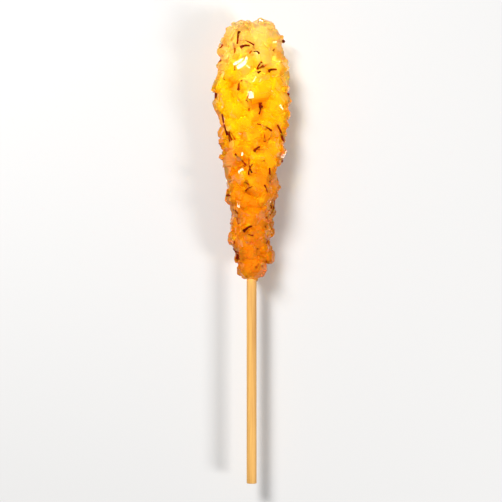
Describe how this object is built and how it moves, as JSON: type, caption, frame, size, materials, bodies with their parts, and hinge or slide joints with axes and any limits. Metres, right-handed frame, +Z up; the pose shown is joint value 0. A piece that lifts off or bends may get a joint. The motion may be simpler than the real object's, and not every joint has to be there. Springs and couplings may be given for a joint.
{
  "type": "rock candy stick",
  "caption": "Saffron rock candy stick: a craggy mass of golden sugar crystals with saffron threads in it, grown round a plain wooden stick and lying on its side.",
  "frame": {"origin": "on the surface that it lies on, under the middle of the whole object's box", "axes": "+Z up, +Y along the stick from its bare end towards the candy, +X across"},
  "size_m": [0.024, 0.139, 0.0186],
  "materials": {
    "rock_candy": "translucent saffron-yellow sugar crystal, glossy facets",
    "wood": "plain sanded pale wood",
    "saffron": "dried saffron threads, dark red"
  },
  "bodies": {
    "root": {"candy": "rock_candy", "stick": "wood"}
  },
  "joints": []
}
